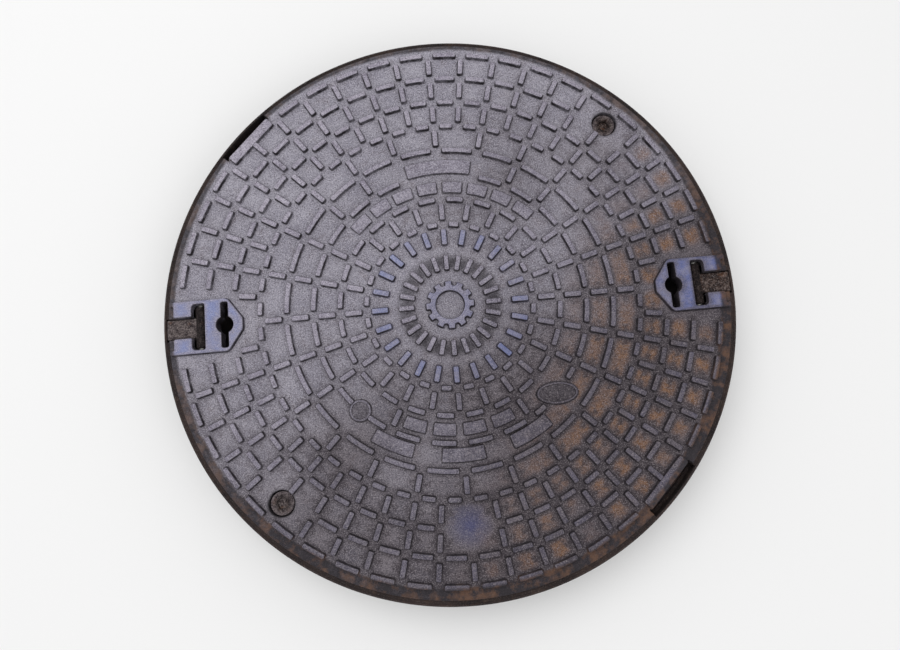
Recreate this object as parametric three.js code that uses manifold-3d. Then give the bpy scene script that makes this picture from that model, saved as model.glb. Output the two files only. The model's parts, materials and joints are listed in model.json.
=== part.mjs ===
// Round cast-iron manhole cover with a raised tread, two lifting and hinge pockets, two quarter-turn
// locks and a rubber rim seal. Millimetres, +Z up. The origin is the middle of the cover in plan, at
// the height of the foot ring it rests on; the two pockets lie on the X axis.
import * as THREE from "three";
import { mergeVertices } from "three/addons/utils/BufferGeometryUtils.js";
import Module from "manifold-3d";

const wasm = await Module();
wasm.setup();

// ---- driving dimensions ----
const R_SEAL = 325; // outside of the rim seal
const R_LIP = 322; // inside of the seal's outer lip, which runs on past the stems and notches
const R_DECK = 317.5; // outside of the iron deck
const R_SKIRT = 298; // outside of the skirt that drops into the frame
const R_FLANGE_IN = 290; // inside of the skirt
const Z_TOP = 75; // top of the tread
const Z_DECK = 70; // top of the deck
const Z_UNDER = 59; // underside of the deck
const Z_SEAT = 47; // underside of the rim flange
const Z_SKIRT = 32; // lower edge of the skirt
const Z_PAD = 44; // lower face of the pocket boxes
const Z_SILL = 53; // floor of the pocket stems and of the rim notches
const GAP = 0.3; // clearance between pieces that touch

const RING_0 = 303.5; // mean radius of the outermost tread ring
const RING_PITCH = 29.95;
const RIB_W = 5.4;
const RIB_GAP = 13.6; // open arc between two ribs of one ring
const CROSS_L = 18.7; // length of the radial ribs between two rings
const CROSS_W = 5.8;
const DRAFT = 0.6; // how much wider each side of a rib is at its root
const FINE = 7.5; // angular pitch of the outer rings, degrees
const COARSE = 15; // angular pitch of the inner rings and bars

const PLATE_HALF = 30; // half width of the smooth pocket plates
const SLOT_X = 253; // centre of the key slot
const SLOT_L = 52;
const SLOT_W = 8.2;
const SLOT_D = 19.4; // round middle of the key slot
const BAR_X0 = 275; // the T-shaped pocket: crossbar from here
const BAR_X1 = 290; // to here
const BAR_HALF = 26.2;
const STEM_HALF = 12.2;
const PAD_END = 310.2; // outer end of the two pads beside the stem
const PIN_X = 282.5; // axis of the hinge pin
const PIN_Z = 63;
const PIN_D = 8;
const LUG_REACH = 38; // from the pin to the tip of the lug

const BOX_X0 = 218; // the box under each pocket plate
const BOX_HALF = 47;
const TRAY_BOLTS = [[228, 37], [283, 37], [283, -37], [228, -37]];
const WELL_R = 27; // turning space of the lifting key

const LOCK_R = 283.5; // radius the two locks stand on
const LOCK_ANGLES = [45, 225];
const LOCK_HEAD_D = 26;
const LOCK_SHAFT_D = 12;
const NOTCH_ANGLES = [135, 315];
const NOTCH_HALF = 35;
const NOTCH_X = 310;
const PATCH_ANGLE = 270; // cells left smooth

const ROUND = 72; // sides of the large circles

const rad = (d) => (d * Math.PI) / 180;

// ---- solids ----
function solid(geometry) {
  const g = geometry.clone();
  g.deleteAttribute("normal");
  g.deleteAttribute("uv");
  const m = mergeVertices(g, 1e-4);
  return new wasm.Manifold(
    new wasm.Mesh({
      numProp: 3,
      vertProperties: new Float32Array(m.attributes.position.array),
      triVerts: new Uint32Array(m.index.array),
    }),
  );
}

function geometryOf(body) {
  const m = body.getMesh();
  const g = new THREE.BufferGeometry();
  g.setAttribute("position", new THREE.BufferAttribute(new Float32Array(m.vertProperties), 3));
  g.setIndex(new THREE.BufferAttribute(new Uint32Array(m.triVerts), 1));
  const flat = g.toNonIndexed();
  flat.computeVertexNormals();
  return flat;
}

function shapeOf(points) {
  const s = new THREE.Shape();
  points.forEach(([x, y], i) => (i ? s.lineTo(x, y) : s.moveTo(x, y)));
  s.closePath();
  return s;
}

// A flat outline raised from z0 to z1, with any holes cut right through.
function slab(points, z0, z1, holes = []) {
  const s = shapeOf(points);
  holes.forEach((h) => s.holes.push(new THREE.Path(h.map(([x, y]) => new THREE.Vector2(x, y)))));
  const g = new THREE.ExtrudeGeometry(s, { depth: z1 - z0, bevelEnabled: false });
  return solid(g.translate(0, 0, z0));
}

const circle = (x, y, r, n = 24, a0 = 0) =>
  Array.from({ length: n }, (_, i) => [
    x + r * Math.cos(a0 + (i * 2 * Math.PI) / n),
    y + r * Math.sin(a0 + (i * 2 * Math.PI) / n),
  ]);
const rect = (x0, x1, y0, y1) => [[x0, y0], [x1, y0], [x1, y1], [x0, y1]];
const octagon = (x0, x1, h, c) => [
  [x0 + c, -h], [x1 - c, -h], [x1, -h + c], [x1, h - c],
  [x1 - c, h], [x0 + c, h], [x0, h - c], [x0, -h + c],
];
const round = (x, y, r, z0, z1, n = 24) => slab(circle(x, y, r, n), z0, z1);
const block = (x0, x1, y0, y1, z0, z1) => slab(rect(x0, x1, y0, y1), z0, z1);
const hexagon = (x, y, flats, z0, z1) => slab(circle(x, y, flats / Math.sqrt(3), 6), z0, z1);
const turned = (body, deg) => body.rotate([0, 0, deg]);

function lathe(profile, segments = ROUND) {
  const points = profile.map(([r, z]) => new THREE.Vector2(r, z));
  const g = new THREE.LatheGeometry(points, segments);
  return solid(g.rotateX(Math.PI / 2));
}

// A raised rib with drafted sides: lx along x and ly along y at its top.
function rib(x, y, deg, lx, ly, z1 = Z_TOP, z0 = Z_DECK - 0.8) {
  const g = new THREE.BoxGeometry(1, 1, 1);
  const p = g.attributes.position;
  for (let i = 0; i < p.count; i++) {
    const out = p.getZ(i) < 0 ? DRAFT : 0;
    p.setXYZ(
      i,
      Math.sign(p.getX(i)) * (lx / 2 + out),
      Math.sign(p.getY(i)) * (ly / 2 + out),
      p.getZ(i) < 0 ? z0 : z1,
    );
  }
  return solid(g.rotateZ(rad(deg)).translate(x, y, 0));
}
const polarRib = (r, deg, alongRadius, alongArc, z1) =>
  rib(r * Math.cos(rad(deg)), r * Math.sin(rad(deg)), deg, alongRadius, alongArc, z1);

// A low curved tile between two radii and two angles.
function arcTile(r0, r1, a0, a1, z1, steps = 4) {
  const pts = [];
  for (let i = 0; i <= steps; i++) {
    const a = rad(a0 + ((a1 - a0) * i) / steps);
    pts.push([r1 * Math.cos(a), r1 * Math.sin(a)]);
  }
  for (let i = steps; i >= 0; i--) {
    const a = rad(a0 + ((a1 - a0) * i) / steps);
    pts.push([r0 * Math.cos(a), r0 * Math.sin(a)]);
  }
  return slab(pts, Z_DECK - 0.8, z1);
}

// ---- the tread ----
const near = (deg, target, within) =>
  Math.abs(((deg - target + 540) % 360) - 180) < within;
const nearPlate = (deg, within) => near(deg, 0, within) || near(deg, 180, within);
const nearAny = (deg, list, within) => list.some((a) => near(deg, a, within));
const ringRadius = (k) => RING_0 - RING_PITCH * k;

function treadBodies() {
  const bodies = [];
  for (let k = 0; k < 8; k++) {
    const r = ringRadius(k);
    const pitch = k < 4 ? FINE : COARSE;
    const length = r * rad(pitch) - RIB_GAP;
    for (let a = pitch / 2; a < 360; a += pitch) {
      if (k < 3 && nearPlate(a, 5)) continue;
      if (k === 0 && nearAny(a, NOTCH_ANGLES, 5)) continue;
      if (k === 1 && nearAny(a, LOCK_ANGLES, 5)) continue;
      if (k === 2 && near(a, PATCH_ANGLE, 5)) continue;
      if (k === 5 && near(a, 90, 10)) continue;
      let l = length;
      let at = a;
      if (k === 5 && nearAny(a, [225, 315], 10)) {
        // ribs cut short beside the round and the oval boss
        const cut = near(a, 225, 10) ? 5 : 13;
        l -= cut;
        at += (a < 225 || (a > 300 && a < 315) ? -1 : 1) * (cut / 2 / rad(1) / r);
      }
      bodies.push(polarRib(r, at, RIB_W, l));
    }
  }
  for (let band = 0; band < 7; band++) {
    const r = ringRadius(band) - RING_PITCH / 2;
    const pitch = band < 3 ? FINE : COARSE;
    for (let a = 0; a < 360; a += pitch) {
      if (band < 2 && nearPlate(a, 10)) continue;
      if (band === 2 && nearPlate(a, 2)) continue;
      if (band === 0 && nearAny(a, LOCK_ANGLES, 2)) continue;
      if ((band === 1 || band === 2) && near(a, PATCH_ANGLE, 2)) continue;
      if (band === 4 && (near(a, 90, 16) || near(a, 270, 46))) continue;
      if (band === 5 && (near(a, 90, 46) || near(a, 270, 16) || near(a, 225, 2))) continue;
      if (band === 5 && near(a, 315, 2)) continue;
      bodies.push(polarRib(r, a, CROSS_L, CROSS_W));
    }
  }
  for (let a = 0; a < 360; a += COARSE) {
    bodies.push(polarRib(79, a, 18, 6)); // outer bars round the hub
    bodies.push(polarRib(49, a, 17, 5.4)); // inner bars
  }
  for (const a of NOTCH_ANGLES) bodies.push(polarRib(303.4, a, 11, 64)); // long rib behind a notch
  return bodies;
}

// Twelve-toothed ring at the middle of the cover.
function hubRing() {
  const outline = [];
  for (let i = 0; i < 12; i++) {
    for (const [d, r] of [[-9.2, 22.2], [-7.4, 27.1], [7.4, 27.1], [9.2, 22.2]]) {
      const a = rad(i * 30 + d);
      outline.push([r * Math.cos(a), r * Math.sin(a)]);
    }
  }
  return slab(outline, Z_DECK - 0.8, Z_TOP, [circle(0, 0, 16.4, 24)]);
}

// Plain raised tiles, with nothing on them, in the two name zones.
function blankTiles() {
  const z = Z_DECK + 3;
  const tiles = [];
  for (let i = 0; i < 8; i++) tiles.push(arcTile(132, 146, 43.5 + 12 * i, 52.5 + 12 * i, z, 2));
  for (let i = 0; i < 4; i++) tiles.push(arcTile(132, 146, 244 + 13.5 * i, 254 + 13.5 * i, z, 2));
  tiles.push(arcTile(155.7, 172.5, 77, 103, z));
  for (const a of [243, 270, 297]) tiles.push(arcTile(158.7, 174.5, a - 8, a + 8, z));
  return tiles;
}

// Round and oval plain bosses in the tread.
function bosses() {
  const list = [];
  const add = (deg, a, b) => {
    const x = 154 * Math.cos(rad(deg));
    const y = 154 * Math.sin(rad(deg));
    const outline = circle(0, 0, 1, 20).map(([u, v]) => [x + u * a, y + v * b]);
    list.push(slab(outline, Z_DECK - 0.8, Z_DECK + 3.5));
  };
  add(225, 11.7, 11.7);
  add(315, 22.5, 11.8);
  return list;
}

// ---- one pocket, drawn on the +X side ----
function pocketPlate() {
  const edge = Math.sqrt((R_DECK - 1.8) ** 2 - PLATE_HALF ** 2);
  const outline = [
    [233, -6.5], [249.6, -PLATE_HALF], [edge, -PLATE_HALF], [edge, -25], [PAD_END, -25],
    [PAD_END, 25], [edge, 25], [edge, PLATE_HALF], [249.6, PLATE_HALF], [233, 6.5],
  ];
  return slab(outline, Z_DECK - 0.8, Z_TOP);
}
function pocketBox() {
  return block(BOX_X0, 304, -BOX_HALF, BOX_HALF, Z_PAD, Z_UNDER + 1)
    .intersect(round(0, 0, R_SKIRT, 0, 100, ROUND));
}
// the skirt stops either side of the tray
const trayGate = () => block(270, 310, -BOX_HALF, BOX_HALF, 0, Z_PAD);
function pocketCuts() {
  const c = 2.5;
  const bar = [
    [BAR_X0, -BAR_HALF + 1], [BAR_X0 + 1, -BAR_HALF], [BAR_X1 - c, -BAR_HALF],
    [BAR_X1, -BAR_HALF + c], [BAR_X1, BAR_HALF - c], [BAR_X1 - c, BAR_HALF],
    [BAR_X0 + 1, BAR_HALF], [BAR_X0, BAR_HALF - 1],
  ];
  const web = (s) => block(269, 291, Math.min(s * 26.4, s * 34.5), Math.max(s * 26.4, s * 34.5),
    Z_PAD - 1, Z_UNDER + 0.5);
  const notch = (s) => block(PIN_X - 4.3, PIN_X + 4.3, Math.min(s * 20, s * 31),
    Math.max(s * 20, s * 31), Z_PAD - 1, PIN_Z + 4.3);
  const cavity = slab(octagon(225, 286, 40, 16), Z_PAD - 1, Z_UNDER).subtract(web(1)).subtract(web(-1));
  const keyhole = block(SLOT_X - SLOT_W / 2, SLOT_X + SLOT_W / 2, -SLOT_L / 2, SLOT_L / 2, 50, 80)
    .add(round(SLOT_X, 0, SLOT_D / 2, 50, 80, 20));
  return [
    trayGate(), cavity, keyhole, notch(1), notch(-1),
    slab(bar, Z_SILL + 2, 80),
    block(BAR_X1 - 5, 340, -STEM_HALF, STEM_HALF, Z_SILL, 80),
    ...TRAY_BOLTS.map(([x, y]) => round(x, y, 4.3, Z_PAD - 1, 57.5, 10)),
  ];
}

// ---- the casting ----
const at = (deg, r) => [r * Math.cos(rad(deg)), r * Math.sin(rad(deg))];

function casting() {
  const body = lathe([
    [0, Z_UNDER], [R_FLANGE_IN, Z_UNDER], [R_FLANGE_IN, Z_SKIRT], [R_SKIRT, Z_SKIRT],
    [R_SKIRT, Z_SEAT], [R_DECK, Z_SEAT], [R_DECK, Z_DECK], [0, Z_DECK],
  ]);
  const footRing = slab(circle(0, 0, 158, 36), 0, Z_UNDER + 1, [circle(0, 0, 148, 36)]);
  const parts = [body, footRing, round(0, 0, 40, 0, Z_UNDER + 1, 24)];
  const webSide = shapeOf([[36, Z_UNDER + 1], [36, 0], [196, 0], [262, Z_SKIRT + 1],
    [R_FLANGE_IN + 3, Z_SKIRT + 1], [R_FLANGE_IN + 3, Z_UNDER + 1]]);
  const web = solid(
    new THREE.ExtrudeGeometry(webSide, { depth: 7, bevelEnabled: false })
      .rotateX(Math.PI / 2).translate(0, 3.5, 0),
  );
  for (let i = 0; i < 8; i++) parts.push(turned(web, 22.5 + 45 * i));
  const inSkirt = round(0, 0, R_SKIRT, 0, 100, ROUND);
  for (const a of LOCK_ANGLES) {
    const [x, y] = at(a, LOCK_R);
    parts.push(round(x, y, 22, Z_SKIRT, Z_UNDER + 1, 20).intersect(inSkirt));
  }
  for (const side of [0, 180]) {
    parts.push(turned(pocketPlate(), side));
    parts.push(turned(pocketBox(), side));
  }
  parts.push(hubRing(), ...blankTiles(), ...bosses(), ...treadBodies());
  let whole = wasm.Manifold.union(parts);
  const cuts = [];
  for (const side of [0, 180]) cuts.push(...pocketCuts().map((c) => turned(c, side)));
  for (const a of LOCK_ANGLES) {
    const [x, y] = at(a, LOCK_R);
    cuts.push(round(x, y, LOCK_HEAD_D / 2 + 1.3, 56, 80, 24));
    cuts.push(round(x, y, LOCK_SHAFT_D / 2 + GAP, 20, 80, 16));
  }
  for (const a of NOTCH_ANGLES) {
    cuts.push(turned(block(NOTCH_X, 340, -NOTCH_HALF, NOTCH_HALF, Z_SILL, 80), a));
  }
  whole = whole.subtract(wasm.Manifold.union(cuts));
  return whole;
}

// ---- the other pieces ----
function rimSeal() {
  const inner = R_DECK + GAP;
  let ring = lathe([
    [303.3, Z_PAD], [R_SEAL, Z_PAD], [R_SEAL, 63.5], [323.5, 65], [inner, 65],
    [inner, Z_SEAT - GAP], [303.3, Z_SEAT - GAP], [303.3, Z_PAD],
  ]);
  const inLip = round(0, 0, R_LIP, 0, 100, ROUND);
  const cut = (half, deg) => turned(block(310, 340, -half, half, Z_SILL - GAP, 80), deg).intersect(inLip);
  for (const side of [0, 180]) ring = ring.subtract(cut(13, side));
  for (const a of NOTCH_ANGLES) ring = ring.subtract(cut(NOTCH_HALF + GAP, a));
  return ring;
}

// T-headed lug, drawn about its own pin axis (Y): the stem points along +X.
function hingeLug() {
  const barrel = solid(
    new THREE.CylinderGeometry(6.5, 6.5, 47, 20),
  );
  const side = shapeOf([[-1, -4.5], [28.5, -4.5], [30, -9.7], [LUG_REACH - 1.5, -9.7],
    [LUG_REACH, -6.5], [LUG_REACH, 2.5], [LUG_REACH - 2.5, 4.5], [-1, 4.5]]);
  const stem = solid(
    new THREE.ExtrudeGeometry(side, { depth: 22.6, bevelEnabled: false })
      .rotateX(Math.PI / 2).translate(0, 11.3, 0),
  );
  const bore = solid(new THREE.CylinderGeometry(PIN_D / 2 + GAP, PIN_D / 2 + GAP, 60, 16));
  return barrel.add(stem).subtract(bore);
}
const hingePin = () => solid(new THREE.CylinderGeometry(PIN_D / 2, PIN_D / 2, 60, 16));

const padOutline = () => rect(BOX_X0, 300, -BOX_HALF + 1, BOX_HALF - 1);
// the tray and its gasket stop short of the skirt's outer face
const padClip = () => round(0, 0, R_SKIRT - 3, 0, 100, ROUND);
function trayGasket() {
  const holes = TRAY_BOLTS.map(([x, y]) => circle(x, y, 4.6, 10));
  return slab(padOutline(), 42, Z_PAD - GAP, [octagon(226, 276, 39, 16), ...holes])
    .subtract(block(275, 287.5, 25.5, 31.5, 40, 46)).subtract(block(275, 287.5, -31.5, -25.5, 40, 46))
    .intersect(padClip());
}
function keyTray() {
  const holes = TRAY_BOLTS.map(([x, y]) => circle(x, y, 4.6, 10));
  const flange = slab(padOutline(), 37.5, 41.7, [circle(SLOT_X, 0, WELL_R, 28), ...holes])
    .intersect(padClip());
  const wall = round(SLOT_X, 0, WELL_R + 3, 14, 38, 28).subtract(round(SLOT_X, 0, WELL_R, 17, 39, 28));
  const horn = (s) => block(PIN_X - 3.6, PIN_X + 3.6, Math.min(s * 27, s * 30.4),
    Math.max(s * 27, s * 30.4), 41, PIN_Z - PIN_D / 2 - GAP);
  return flange.add(wall).add(horn(1)).add(horn(-1));
}
const washer = (x, y, r0, r1, z0, z1, n = 12) =>
  slab(circle(x, y, r1, n), z0, z1, [circle(x, y, r0, n)]);
const trayWasher = (x, y) => washer(x, y, 4.4, 8, 35.6, 37.2);
const trayBolt = (x, y) => hexagon(x, y, 13, 29.8, 35.3).add(round(x, y, 4, 34, 56.5, 12));

// Lock parts, drawn about their own upright axis.
function lockBolt() {
  const head = round(0, 0, LOCK_HEAD_D / 2, 58.6, 66, 20);
  const drive = slab(circle(0, 0, 6.6, 5), 61.5, 70); // five-sided key recess
  return head.subtract(drive)
    .add(round(0, 0, LOCK_SHAFT_D / 2, 30.2, 60, 16))
    .add(block(-4.2, 4.2, -4.2, 4.2, 19.9, 31))
    .add(round(0, 0, 4.2, 5, 20, 12));
}
const lockSeal = () => washer(0, 0, LOCK_SHAFT_D / 2 + GAP, LOCK_HEAD_D / 2 + 0.4, 56.3, 58.3, 20);
function lockCam() {
  const outline = [];
  for (let i = 0; i <= 10; i++) {
    const a = rad(90 + 18 * i);
    outline.push([11.5 * Math.cos(a), 11.5 * Math.sin(a)]);
  }
  outline.push([22, -9.5], [29, -6.5], [31, -2], [31, 2], [29, 6.5], [22, 9.5]);
  return slab(outline, 20, 29.8).subtract(block(-4.5, 4.5, -4.5, 4.5, 10, 40));
}
const lockWasher = () => washer(0, 0, 4.6, 10, 17.7, 19.6, 16);
const lockNut = () => hexagon(0, 0, 17, 9.3, 17.4).subtract(round(0, 0, 4.5, 0, 30, 12));

// ---- looks ----
const look = (color, roughness, metalness) =>
  new THREE.MeshStandardMaterial({ color, roughness, metalness });
const IRON = look(0x77707a, 0.62, 0.55);
const LUG_IRON = look(0x4a4248, 0.6, 0.6);
const RUBBER = look(0x241f21, 0.85, 0);
const STEEL = look(0x8d8f94, 0.4, 0.9);
const TRAY = look(0x3b3840, 0.65, 0.4);

// ---- the assembly ----
const cover = new THREE.Group();
cover.name = "manhole_cover";
function piece(parent, name, body, material) {
  const mesh = new THREE.Mesh(geometryOf(body), material);
  mesh.name = name;
  parent.add(mesh);
  return mesh;
}

piece(cover, "cover_casting", casting(), IRON);
piece(cover, "rim_seal", rimSeal(), RUBBER);

for (const [label, side] of [["right", 0], ["left", 180]]) {
  const pocket = new THREE.Group();
  pocket.rotation.z = rad(side);
  cover.add(pocket);
  const lug = piece(pocket, "hinge_lug_" + label, hingeLug(), LUG_IRON);
  lug.position.set(PIN_X, 0, PIN_Z);
  const pin = piece(pocket, "hinge_pin_" + label, hingePin(), STEEL);
  pin.position.set(PIN_X, 0, PIN_Z);
  piece(pocket, "tray_gasket_" + label, trayGasket(), RUBBER);
  piece(pocket, "key_tray_" + label, keyTray(), TRAY);
  TRAY_BOLTS.forEach(([x, y], i) => {
    piece(pocket, "tray_washer_" + label + "_" + (i + 1), trayWasher(x, y), STEEL);
    piece(pocket, "tray_bolt_" + label + "_" + (i + 1), trayBolt(x, y), STEEL);
  });
}

LOCK_ANGLES.forEach((a, i) => {
  const label = i ? "front" : "back";
  const lock = new THREE.Group();
  const [x, y] = at(a, LOCK_R);
  lock.position.set(x, y, 0);
  lock.rotation.z = rad(a + 90); // the cam lies along the rim when the lock is open
  cover.add(lock);
  piece(lock, "lock_bolt_" + label, lockBolt(), LUG_IRON);
  piece(lock, "lock_seal_" + label, lockSeal(), RUBBER);
  piece(lock, "lock_cam_" + label, lockCam(), LUG_IRON);
  piece(lock, "lock_washer_" + label, lockWasher(), STEEL);
  piece(lock, "lock_nut_" + label, lockNut(), STEEL);
});

export default cover;
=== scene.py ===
import json
import math
import random

import bpy
from mathutils import Matrix, Vector, kdtree, noise
from mathutils.geometry import delaunay_2d_cdt


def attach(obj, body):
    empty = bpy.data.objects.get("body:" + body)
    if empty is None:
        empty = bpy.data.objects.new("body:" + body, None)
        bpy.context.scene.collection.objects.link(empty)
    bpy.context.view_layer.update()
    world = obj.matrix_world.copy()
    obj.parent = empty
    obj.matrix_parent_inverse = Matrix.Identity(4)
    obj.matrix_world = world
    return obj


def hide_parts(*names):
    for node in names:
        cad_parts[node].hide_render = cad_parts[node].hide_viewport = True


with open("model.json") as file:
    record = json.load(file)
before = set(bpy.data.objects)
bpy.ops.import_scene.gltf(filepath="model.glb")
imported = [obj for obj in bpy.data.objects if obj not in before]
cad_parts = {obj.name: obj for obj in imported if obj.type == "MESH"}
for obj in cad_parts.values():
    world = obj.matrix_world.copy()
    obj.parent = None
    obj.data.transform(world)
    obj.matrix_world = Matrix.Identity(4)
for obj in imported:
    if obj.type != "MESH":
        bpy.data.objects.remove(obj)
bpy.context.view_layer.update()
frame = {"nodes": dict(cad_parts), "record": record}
nodes = frame["nodes"]
scene = bpy.context.scene
random.seed(41)
noise.seed_set(41)

# ------------------------ dimensions, millimetres
MM = 0.001
R_SEAL = 325.0
R_DECK = 317.5
R_SKIRT = 298.0
R_SKIRT_IN = 290.0
Z_TOP = 75.0  # tops of the ribs and plates
Z_DECK = 70.0  # the floor between them
Z_UNDER = 59.0  # underside of the deck
Z_SILL = 53.0  # floor of the rim notches
Z_SEAT = 47.0
Z_PAD = 44.0  # where the trays are bolted on
Z_SKIRT = 32.0
SIDES = (0, 180)  # degrees to the two pockets
RING_0 = 303.5  # radius of the outermost ring of ribs
RING_PITCH = 29.95
RIB_W = 5.4
RIB_GAP = 13.6
RIB_CORNER = 1.3
CROSS_L = 18.7
CROSS_W = 5.8
FINE = 7.5  # degrees between ribs on the outer rings
COARSE = 15.0
HUB_R = 27.1
HUB_BORE = 16.4
HUB_BARS = 49  # radius of the short bars round the hub
OUTER_BARS = 79  # radius of the bars round those, which carry a painted bluish sky reflection
NOTCH_BARS = 303.4  # radius of the long bars beside the rim notches
TILES_IN = 132.5
TILES_OUT = 145.5
BOSS_R = 154
FOOT_IN = 148.2
FOOT_OUT = 157.6
CORE_R = 39.8
PLATE_HALF = 30.0
SLOT_X = 253.0
SLOT_HALF = 26.0
SLOT_W = 8.2
SLOT_R = 9.7
BAR_X0 = 275.0
BAR_X1 = 290.0
BAR_HALF = 26.2
STEM_HALF = 12.2
PIN_X = 282.5
PIN_Z = 63.0
BOX_X0 = 218.0
BOX_HALF = 47.0
TRAY_BOLTS = [(228, 37), (283, 37), (283, -37), (228, -37)]
WELL_R = 27.0
LOCK_R = 283.5
LOCK_ANGLES = (45, 225)
NOTCH_ANGLES = (135, 315)
NOTCH_HALF = 35.0
NOTCH_X = 310.0
PAD_END = 309.8
R_LIP = 322.0
LIP_Z = 64.78
PATCH = 270  # degrees to the bare place at the front, without ribs
PATCH_R = 241
TILE_Z = Z_DECK + 3
TRAY_Z0 = 37.5
TRAY_Z1 = 41.7


def rad(d):
    return math.radians(d)


def polar(r, deg):
    return (r * math.cos(rad(deg)), r * math.sin(rad(deg)))


def spin(points, deg):
    c, s = math.cos(rad(deg)), math.sin(rad(deg))
    return [(x * c - y * s, x * s + y * c) for x, y in points]


# ------------------------ outlines
def area(points):
    return 0.5 * sum(
        points[i - 1][0] * p[1] - p[0] * points[i - 1][1] for i, p in enumerate(points)
    )


def circle(x, y, r, n=48):
    step = 2 * math.pi / n
    return [(x + r * math.cos(i * step), y + r * math.sin(i * step)) for i in range(n)]


def rounded(points, radius, steps):
    """The outline with each corner turned into an arc; radius is one for all, or one for each."""
    out = []
    n = len(points)
    for i, p in enumerate(points):
        r = radius[i] if isinstance(radius, (list, tuple)) else radius
        a, b, c = Vector(points[i - 1]), Vector(p), Vector(points[(i + 1) % n])
        u, v = (a - b).normalized(), (c - b).normalized()
        angle = u.angle(v, math.pi)
        if r <= 0 or angle > rad(176):
            out.append(tuple(b))
            continue
        back = min(r / math.tan(angle / 2), 0.49 * (a - b).length, 0.49 * (c - b).length)
        r = back * math.tan(angle / 2)
        centre = b + (u + v).normalized() * (r / math.sin(angle / 2))
        start, end = b + u * back - centre, b + v * back - centre
        sweep = math.atan2(start.x * end.y - start.y * end.x, start.dot(end))
        for k in range(steps + 1):
            t = sweep * k / steps
            co, si = math.cos(t), math.sin(t)
            out.append((centre.x + start.x * co - start.y * si,
                        centre.y + start.x * si + start.y * co))
    return out


def offset(points, d):
    """The outline moved outwards by d (points run anticlockwise)."""
    if abs(d) < 1e-9:
        return list(points)
    out = []
    n = len(points)
    for i, p in enumerate(points):
        a, b, c = Vector(points[i - 1]), Vector(p), Vector(points[(i + 1) % n])
        e1, e2 = (b - a).normalized(), (c - b).normalized()
        n1, n2 = Vector((e1.y, -e1.x)), Vector((e2.y, -e2.x))
        m = n1 + n2
        k = max(0.35, 1 + n1.dot(n2))
        out.append((p[0] + m.x * d / k, p[1] + m.y * d / k))
    return out


def anticlockwise(points):
    return list(points) if area(points) > 0 else list(reversed(points))


def inside(p, loop):
    """Is the point inside the outline? Counts how often a line from it crosses the sides."""
    hit = False
    x, y = p
    for i, b in enumerate(loop):
        a = loop[i - 1]
        if (a[1] > y) != (b[1] > y):
            if x < (b[0] - a[0]) * (y - a[1]) / (b[1] - a[1]) + a[0]:
                hit = not hit
    return hit


def nearest(places):
    """A search tree of the places, for the nearest one to a point."""
    tree = kdtree.KDTree(len(places))
    for i, place in enumerate(places):
        tree.insert((place[0], place[1], 0), i)
    tree.balance()
    return tree


def eased(t):
    """Kept between 0 and 1, with a soft start and end."""
    t = max(0.0, min(1.0, t))
    return t * t * (3 - 2 * t)


def lattice(rims, spacing):
    """Points in rows of triangles, inside rims[0] and outside the others, clear of them all."""
    xs = [p[0] for p in rims[0]]
    ys = [p[1] for p in rims[0]]
    row = spacing * 0.866
    holes = [(b, min(p[0] for p in b) - 1, max(p[0] for p in b) + 1,
              min(p[1] for p in b) - 1, max(p[1] for p in b) + 1) for b in rims[1:]]
    outer = offset(rims[0], -0.6 * spacing)
    dirt_and_shade_near_ribs = []
    for j in range(1, int((max(ys) - min(ys)) / row) + 1):
        for i in range(int((max(xs) - min(xs)) / spacing) + 1):
            p = (min(xs) + (i + 0.5 * (j % 2)) * spacing, min(ys) + j * spacing * 0.866)
            in_hole = any(x0 < p[0] < x1 and y0 < p[1] < y1 and inside(p, offset(b, 1.0))
                          for b, x0, x1, y0, y1 in holes)
            if inside(p, outer) and not in_hole:
                dirt_and_shade_near_ribs.append(p)
    return dirt_and_shade_near_ribs


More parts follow.
